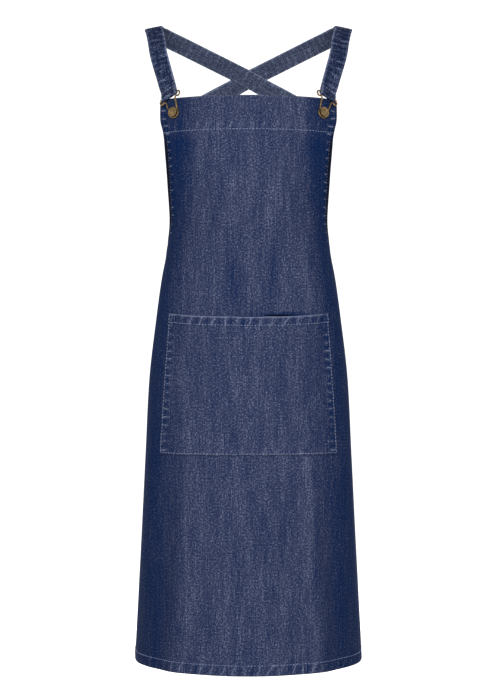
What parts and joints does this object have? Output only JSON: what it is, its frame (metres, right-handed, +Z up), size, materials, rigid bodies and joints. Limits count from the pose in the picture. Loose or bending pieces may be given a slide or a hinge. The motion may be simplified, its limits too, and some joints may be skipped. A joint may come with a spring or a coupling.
{
  "type": "cross back apron",
  "caption": "Denim cross back apron held in its worn shape: bib and wrapped skirt, patch pocket, and shoulder straps that cross behind and clip to buttons on the bib.",
  "frame": {"origin": "midway between the two shoulder straps, level with their underside where they pass over the shoulders", "axes": "+Z up along the body, +X to the viewer's right when facing the bib, the wearer faces -Y"},
  "size_m": [0.3758, 0.2852, 1.0398],
  "materials": {
    "denim": "matte indigo denim, washed",
    "strap_denim": "matte indigo denim, folded and sewn",
    "brass": "antiqued brass, satin"
  },
  "bodies": {
    "root": {"body_panel": "denim", "bib_facing": "denim", "pocket": "denim", "strap_left": "strap_denim", "strap_right": "strap_denim", "clip_left": "brass", "clip_right": "brass", "button_left": "brass", "button_right": "brass", "tack_left": "brass", "tack_right": "brass"}
  },
  "joints": []
}
